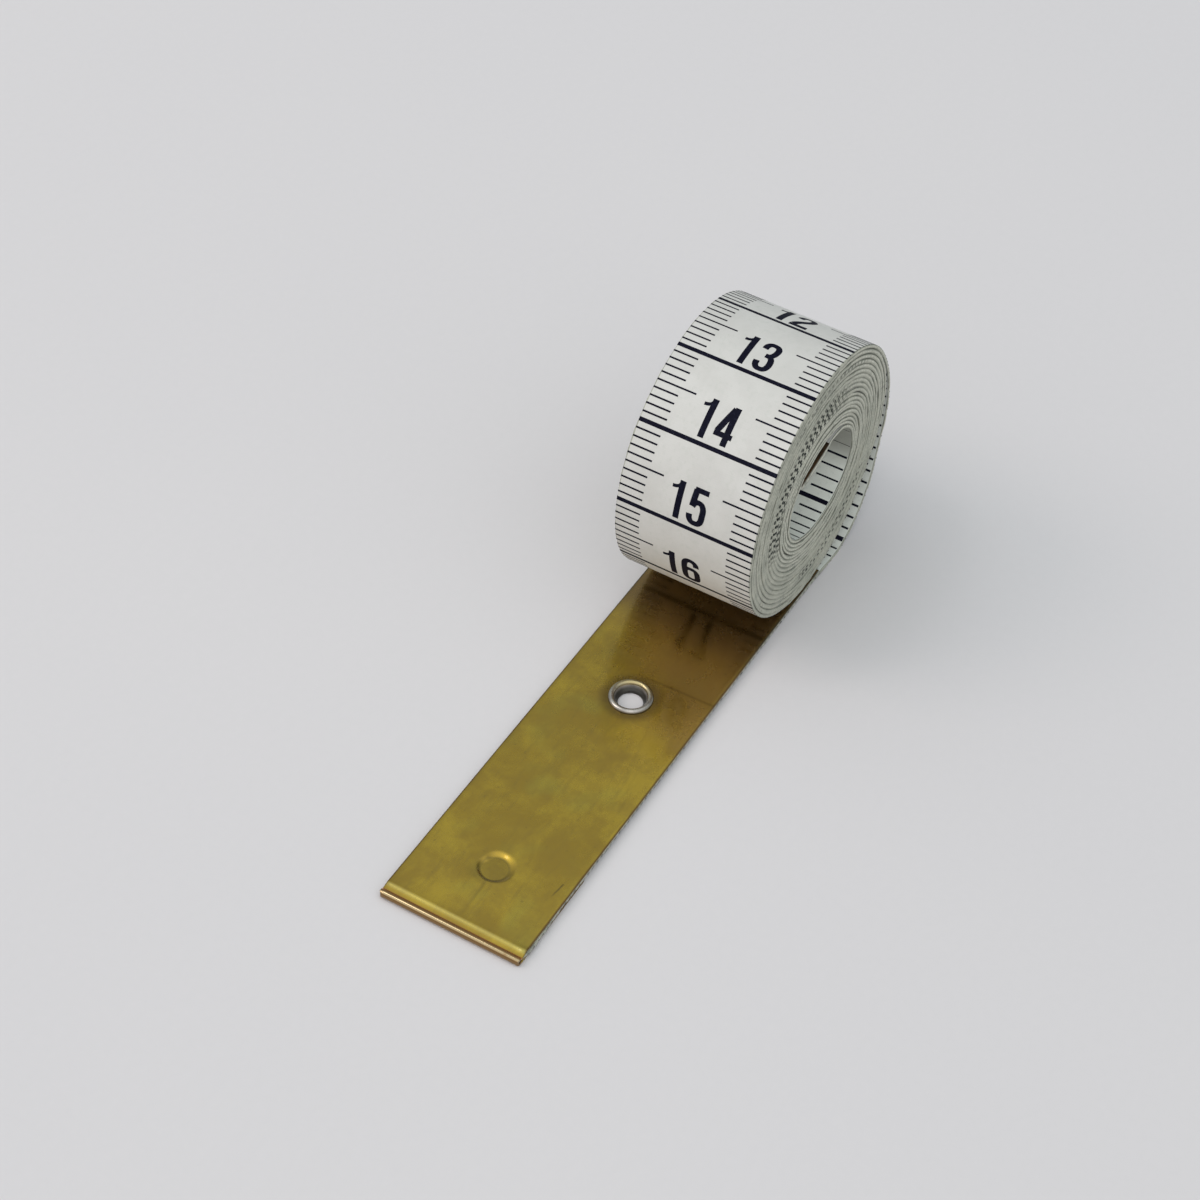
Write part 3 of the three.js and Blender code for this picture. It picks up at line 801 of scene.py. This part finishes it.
tab = strip_mesh("inner_end_brass", tab_path, tab_loops, shift=sideways(tip))


def dark_brass_look(start):
    place = object_place(start)
    clouds = place.noise(420.0, 4.0, 0.6)
    grain = place.noise(2100.0, 3.0, 0.65)
    # The dark colour is tarnish and painted shade.
    colour = clouds.rise(0.36, 0.66).between((0.075, 0.045, 0.022), (0.028, 0.02, 0.014))
    colour = (grain.rise(0.6, 0.75) * 0.6).between(colour, (0.2, 0.12, 0.05))
    normal = (clouds * 0.5 + grain * 0.5).bump(0.00001, 0.7)
    return {"Base Color": colour, "Roughness": 0.38 + clouds * 0.2, "Normal": normal}


tab.data.materials.append(finish_named("tarnished_and_shaded_brass", {"Metallic": 1.0}, dark_brass_look))
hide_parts("inner_end_tab")
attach(tab, "inner_end")


# Printed scales: navy-black ink on the cloth. The outer face has a line across at each
# centimetre, with half-centimetre and millimetre ticks from both edges. The inner face has
# sixteenths of an inch, with a line across at each inch.
ink_height = 0.012
cm_face, inch_face = -1, 1
zero_on = {cm_face: ZERO, inch_face: INCH_ZERO}


def ink_look(start):
    grain = object_place(start).noise(2600.0, 3.0, 0.6)
    colour = grain.rise(0.45, 0.8).between((0.0035, 0.0035, 0.012), (0.012, 0.013, 0.028))
    return {"Base Color": colour, "Roughness": 0.52 + grain * 0.2}


ink = finish_named("navy_ink", {"Specular IOR Level": 0.08}, ink_look)


def marks_tree():
    """A Geometry Nodes tree that prints a row of like marks along a line, but for every so
    many that are left out."""
    tree = bpy.data.node_groups.new("printed_marks", "GeometryNodeTree")
    for name, kind in (("Geometry", "Geometry"), ("First", "Float"), ("Pitch", "Float"), ("Count", "Int"),
                       ("Left out", "Int"), ("Size", "Vector"), ("Across", "Float"), ("Ink", "Material")):
        tree.interface.new_socket(name, in_out="INPUT", socket_type="NodeSocket" + kind)
    tree.interface.new_socket("Geometry", in_out="OUTPUT", socket_type="NodeSocketGeometry")
    given = {socket.name: Mark(tree, socket) for socket in tree.nodes.new("NodeGroupInput").outputs}
    node = Mark(tree).node
    index = node("GeometryNodeInputIndex")
    spot = node("GeometryNodeSampleCurve", {"mode": "LENGTH", "use_all_curves": True},
                {"Curves": given["Geometry"], "Length": index * given["Pitch"] + given["First"]}, "Position")
    tangent = Mark(tree, spot.socket.node.outputs["Tangent"])
    straight = node("ShaderNodeVectorMath", {"operation": "MULTIPLY"}, {0: tangent, 1: (1, 0, 1)})
    facing = node("FunctionNodeAlignRotationToVector", {"axis": "X", "pivot_axis": "Y"}, {"Vector": straight})
    spots = node("GeometryNodePoints", None, {"Count": given["Count"], "Position": spot})
    # The facing is read along the curve, so it is stored on the points before they are used.
    spots = node("GeometryNodeStoreNamedAttribute", {"data_type": "QUATERNION", "domain": "POINT"},
                 {"Geometry": spots, "Name": "facing", "Value": facing})
    cycle = index.math("MODULO", given["Left out"].math("MAXIMUM", 1.0))
    left_out = cycle.math("COMPARE", 0.0) * given["Left out"].math("GREATER_THAN", 0.5)
    spots = node("GeometryNodeDeleteGeometry", {"domain": "POINT"}, {"Geometry": spots, "Selection": left_out})
    across = node("ShaderNodeCombineXYZ", None, {"Y": given["Across"]})
    mark = node("GeometryNodeMeshCube", None, {"Size": given["Size"]})
    mark = node("GeometryNodeTransform", None, {"Geometry": mark, "Translation": across})
    stored = node("GeometryNodeInputNamedAttribute", {"data_type": "QUATERNION"}, {"Name": "facing"})
    row = node("GeometryNodeInstanceOnPoints", None, {"Points": spots, "Instance": mark, "Rotation": stored})
    row = node("GeometryNodeRealizeInstances", None, {0: row})
    row = node("GeometryNodeSetMaterial", None, {"Geometry": row, "Material": given["Ink"]})
    tree.links.new(row.socket, tree.nodes.new("NodeGroupOutput").inputs[0])
    return tree


MARKS = marks_tree()


def face_line(start, end, face, step=0.25):
    """The line along one face of the ribbon, from start to end, as points in the side view."""
    lengths = np.linspace(start, end, int((end - start) / step) + 1)
    middle = on_ribbon(lengths)
    return lengths, middle + left_of(middle) * face * tape_half


mm_tick = (0.22, 3.2, 2 * ink_height)
half_tick = (0.22, 5.1, 2 * ink_height)
cm_line = (0.52, 2 * ribbon_half, 2 * ink_height)
inch_tick = (0.28, 3.0, 2 * ink_height)
inch_line = (0.62, 2 * ribbon_half - 0.3, 2.4 * ink_height)
tick_margin = {cm_face: 0.0, inch_face: 0.2}


def printed_row(name, start, end, face, first, pitch, size, edge=0, left_out=0):
    """One row of marks between two readings on one face, as a plain mesh object. The marks are
    ticks at one edge, -1 or 1, or lines across."""
    lengths, line = face_line(start + zero_on[face], end + zero_on[face], face)
    curve = bpy.data.curves.new(name, "CURVE")
    curve.dimensions = "3D"
    spline = curve.splines.new("POLY")
    spline.points.add(len(line) - 1)
    points = metres(np.stack([line[:, 0], sideways(lengths), line[:, 1]], 1))
    spline.points.foreach_set("co", np.concatenate([points, np.ones((len(points), 1))], 1).ravel())
    row = placed(name, curve)
    # A face's own length differs from the middle line's, so each reading's place is measured on it.
    stretch = run_of(line)[-1] / (end - start)
    values = {"First": (first - start) * stretch * MM, "Pitch": pitch * stretch * MM,
              "Count": int((end - first) / pitch + 1e-6) + 1, "Left out": left_out,
              "Size": [v * MM for v in size], "Ink": ink,
              "Across": edge * (ribbon_half - tick_margin[face] - size[1] / 2) * MM}
    modifier = row.modifiers.new("marks", "NODES")
    modifier.node_group = MARKS
    for item in MARKS.interface.items_tree:
        if item.in_out == "INPUT" and item.name in values:
            modifier[item.identifier] = values[item.name]
    mesh = shaped(row)
    row.modifiers.clear()
    bpy.data.objects.remove(row)
    return placed(name, mesh)


def select_only(pieces):
    """Selects these pieces alone, with the first one active."""
    bpy.ops.object.select_all(action="DESELECT")
    for piece in pieces:
        piece.select_set(True)
    bpy.context.view_layer.objects.active = pieces[0]


def gathered(name, pieces):
    """Several meshes as one piece."""
    select_only(pieces)
    bpy.ops.object.join()
    pieces[0].name = name
    return pieces[0]


# Numerals: bold narrow figures, drawn as brush strokes that are laid along the ribbon.
numeral_height = 4.7
figure_width, one_width = 2.36, 1.55
stem, bar, flag = 0.76, 0.62, 0.4
foot_gap = 0.65
small_ring = [(0.48, 3.5), (0.6, 4.2), (1.18, 4.4), (1.76, 4.2), (1.88, 3.5), (1.76, 2.8), (1.18, 2.55), (0.6, 2.8)]
low_ring = [(0.38, 1.5), (0.42, 2.3), (0.7, 2.68), (1.18, 2.76), (1.66, 2.68), (1.94, 2.3), (1.98, 1.5), (1.92, 0.75),
            (1.64, 0.38), (1.18, 0.3), (0.72, 0.38), (0.44, 0.75)]
FIGURES = {
    "0": [("ring", [(0.38, 2.35), (0.42, 3.5), (0.62, 4.15), (1.18, 4.4), (1.74, 4.15), (1.94, 3.5), (1.98, 2.35),
                    (1.94, 1.2), (1.74, 0.55), (1.18, 0.3), (0.62, 0.55), (0.42, 1.2)])],
    "1": [("line", [(1.17, 0.0), (1.17, 4.7)]), ("flag", [(0.0, 3.78), (0.45, 3.84), (0.8, 4.0), (1.0, 4.3)])],
    "2": [("curve", [(0.38, 3.2), (0.42, 3.8), (0.72, 4.28), (1.18, 4.39), (1.64, 4.28), (1.95, 3.85), (1.95, 3.35),
                     (1.72, 2.7), (1.28, 2.05), (0.8, 1.35), (0.45, 0.62)]), ("line", [(0.05, 0.31), (2.3, 0.31)])],
    "3": [("curve", [(0.38, 3.4), (0.45, 3.95), (0.78, 4.32), (1.18, 4.39), (1.6, 4.3), (1.92, 3.95), (1.94, 3.4),
                     (1.78, 2.85), (1.45, 2.5), (0.92, 2.44)]),
          ("curve", [(0.92, 2.42), (1.5, 2.38), (1.86, 2.0), (1.98, 1.35), (1.9, 0.75), (1.6, 0.38), (1.18, 0.3),
                     (0.76, 0.38), (0.44, 0.8), (0.37, 1.35)])],
    "4": [("line", [(1.42, 4.5), (0.36, 1.45)]), ("line", [(0.05, 1.2), (2.36, 1.2)]),
          ("line", [(1.66, 0.0), (1.66, 4.7)])],
    "5": [("line", [(0.42, 4.39), (2.2, 4.39)]), ("line", [(0.66, 4.4), (0.52, 2.3)]),
          ("curve", [(0.55, 2.35), (0.8, 2.8), (1.25, 2.95), (1.7, 2.78), (1.96, 2.25), (1.98, 1.5), (1.92, 0.8),
                     (1.62, 0.38), (1.18, 0.3), (0.76, 0.38), (0.44, 0.8), (0.37, 1.3)])],
    "6": [("ring", low_ring),
          ("curve", [(1.96, 3.45), (1.9, 3.95), (1.6, 4.3), (1.18, 4.4), (0.74, 4.28), (0.46, 3.85), (0.38, 3.1),
                     (0.38, 1.6)])],
    "7": [("line", [(0.1, 4.39), (2.25, 4.39)]), ("curve", [(1.92, 4.3), (1.5, 3.2), (1.15, 1.9), (1.02, 0.0)])],
    "8": [("ring", small_ring), ("ring", [(u, v * 0.93) for u, v in low_ring])],
}
FIGURES["9"] = [(kind, [(figure_width - u, numeral_height - v) for u, v in stroke]) for kind, stroke in FIGURES["6"]]


def stroke_sides(kind, points):
    """The two sides of a stroke, wider where it runs up than where it runs across."""
    closed = kind == "ring"
    if kind == "line":
        line = even_steps(points, 0.25)
    else:
        line = smooth_through(points, 0.14, closed)
    if closed:
        line = line[:-1]
        way = np.roll(line, -1, 0) - np.roll(line, 1, 0)
    else:
        way = np.gradient(line, axis=0)
    way /= np.linalg.norm(way, axis=1)[:, None]
    width = np.hypot(stem * way[:, 1], bar * way[:, 0])
    if kind == "flag":
        width = np.full(len(line), flag)
    out = np.stack([-way[:, 1], way[:, 0]], 1) * width[:, None] / 2
    return line + out, line - out, closed


def left_edges(text):
    """How far left of the ribbon's middle each figure of a number starts."""
    if len(text) == 1:
        return [(one_width if text == "1" else figure_width) / 2 + 0.1]
    return [0.95 + one_width, 0.1] if text[0] == "1" else [2.56, -0.2]


def numeral(text, reading, face):
    """Points and faces of a number whose foot stands at a reading, its top towards zero."""
    foot = reading - foot_gap + zero_on[face]
    lengths, line = face_line(max(foot - 8, ribbon_start), foot + 4, face, 0.1)
    out = left_of(line) * face
    aside = sideways(lengths)
    points, faces = [], []
    for figure, left in zip(text, left_edges(text)):
        for order, (kind, stroke) in enumerate(FIGURES[figure]):
            one, two, closed = stroke_sides(kind, stroke)
            # A stroke that crosses another lies a hair above it.
            lift = ink_height + 0.0012 * order
            base = len(points)
            for a, b in zip(one, two):
                for (u, v), height in ((a, -0.01), (a, lift), (b, lift), (b, -0.01)):
                    at = foot - np.clip(v, 0, numeral_height)
                    px, pz = (np.interp(at, lengths, line[:, k] + height * out[:, k]) for k in (0, 1))
                    points.append((px, face * (u - left) + np.interp(at, lengths, aside), pz))
            n = len(one)
            for i in range(n if closed else n - 1):
                p, q = base + 4 * i, base + 4 * ((i + 1) % n)
                faces += [(p + j, p + (j + 1) % 4, q + (j + 1) % 4, q + j) for j in range(4)]
            if not closed:
                faces += [(base, base + 1, base + 2, base + 3), tuple(base + 4 * (n - 1) + j for j in (3, 2, 1, 0))]
    return points, faces


def numerals(name, numbers, unit, face):
    """A run of whole numbers, each at its own reading, as one piece."""
    points, faces = [], []
    for number in numbers:
        some, more = numeral(str(number), number * unit, face)
        faces += [tuple(len(points) + i for i in f) for f in more]
        points += some
    piece = meshed(name, points, faces)
    piece.data.materials.append(ink)
    select_only([piece])
    bpy.ops.object.mode_set(mode="EDIT")
    bpy.ops.mesh.select_all(action="SELECT")
    bpy.ops.mesh.normals_make_consistent(inside=False)
    bpy.ops.object.mode_set(mode="OBJECT")
    return piece


def centimetre_rows(name, start, end):
    """The centimetre scale between two readings on the outer face."""
    rows = []
    mm_first = math.floor(start / 5) * 5
    half_first = math.ceil((start - 5) / 10) * 10 + 5
    for edge in (-1, 1):
        rows.append(printed_row(name + "_mm", mm_first, end, cm_face, mm_first, 1.0, mm_tick, edge, 5))
        rows.append(printed_row(name + "_half", start, end, cm_face, half_first, 10.0, half_tick, edge))
    rows.append(printed_row(name + "_cm", start, end, cm_face, math.ceil(start / 10) * 10, 10.0, cm_line))
    figures = [n for n in range(1, 150) if start + 6 <= n * 10.0 <= end]
    return rows + [numerals(name + "_figures", figures, 10.0, cm_face)]


def inch_rows(name, start, end, figures):
    """The inch scale between two readings on the inner face, whose ticks stop short of the rims."""
    pitch = INCH / 16
    first = math.ceil(start / pitch) * pitch
    rows = [printed_row(name + "_16", start, end, inch_face, first, pitch, inch_tick, edge) for edge in (-1, 1)]
    rows.append(printed_row(name + "_in", start, end, inch_face, math.ceil(start / INCH) * INCH, INCH, inch_line))
    return rows + [numerals(name + "_figures", figures, INCH, inch_face)]


# Over the eyelet's hole the scale is punched away, so its rows stop either side of it.
lead_rows = centimetre_rows("tip", 4.0, 36.0) + centimetre_rows("lead", 44.0, joined - ZERO - 0.5)
lead_print = gathered("print_on_lead", lead_rows + inch_rows("lead_inch", 72.0, joined - INCH_ZERO - 2, [3]))
roll_rows = centimetre_rows("roll", joined - ZERO, 216.0)
core_rows = inch_rows("core_inch", 1440.0, inner_start - INCH_ZERO - 0.5, [57, bar_inch])
roll_print = gathered("print_on_roll", roll_rows + core_rows)
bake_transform(lead_print)
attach(roll_print, "roll")


# Table, light and camera: a plain pale table, a large soft window high on the left, a small lamp
# overhead, a pale room, and a camera that was calibrated from the printed scale.
mesh = bpy.data.meshes.new("table")
table_half = 3.0
corners = [(-1, -1), (1, -1), (1, 1), (-1, 1)]
mesh.from_pydata([(table_half * u, table_half * v, 0) for u, v in corners], [], [(0, 1, 2, 3)])
table = placed("table", mesh)


def table_look(start):
    place = object_place(start)
    cloud = place.noise(9.0, 2.0, 0.5)
    colour = cloud.between((0.71, 0.683, 0.685), (0.68, 0.657, 0.67))
    speckle = place.noise(900.0, 2.0, 0.6) * 0.1
    return {"Base Color": speckle.between(colour, (0.5, 0.5, 0.5)), "Roughness": 0.6 + cloud * 0.1}


mesh.materials.append(finish_named("pale_table", {"Specular IOR Level": 0.2}, table_look))


def round_lamp(name, size, power, colour, way, distance_off=1.1):
    """A soft round lamp that stands off in one direction and shines at the part."""
    data = bpy.data.lights.new(name, "AREA")
    data.shape, data.size = "DISK", size
    data.energy, data.color = power, colour
    lamp = placed(name, data)
    way = Vector(way).normalized()
    lamp.location = way * distance_off
    lamp.rotation_euler = way.to_track_quat("Z", "Y").to_euler()


round_lamp("window", 0.5, 1.6, (1.0, 0.86, 0.79), (-0.6, 1.0, 1.0))
round_lamp("overhead", 0.22, 0.55, (1.0, 0.96, 0.95), (-0.2, 0.4, 0.9))

# The room is brightest overhead and towards low X, above a pale horizon.
world = bpy.data.worlds.new("room")
bpy.context.scene.world = world
world.use_nodes = True
sky = Mark(world.node_tree)
way = sky.node("ShaderNodeTexCoord", out=0)
up = way.part("Z")
to_low_x = way.part("X") * -0.97 + way.part("Y") * -0.05
level = 0.235 + up * 0.91 + to_low_x * 0.68 * (0.35 + up * 0.65)
level = level + (0.5 - level) * up.rise(0.32, 0.16)
shade = (to_low_x * 0.5 + 0.5).between((0.915, 1.035, 1.075), (1.045, 1.045, 1.045))
room_strength = 1.4
room = (level / room_strength).between((0.0, 0.0, 0.0), shade)
background = world.node_tree.nodes["Background"]
world.node_tree.links.new(room.socket, background.inputs["Color"])
background.inputs["Strength"].default_value = room_strength

camera_data = bpy.data.cameras.new("camera")
camera_data.lens = 83.22
camera_data.sensor_width = 36.0
camera_data.clip_start = 0.01
camera = placed("camera", camera_data)
camera.matrix_world = Matrix((
    (0.50424665, 0.60096811, -0.62013922, -0.2006774),
    (-0.86224687, 0.38996399, -0.32320028, -0.09773),
    (0.0475989, 0.69768576, 0.71482091, 0.24172),
    (0, 0, 0, 1),
))
bpy.context.scene.camera = camera
bpy.context.scene.view_settings.view_transform = "Standard"
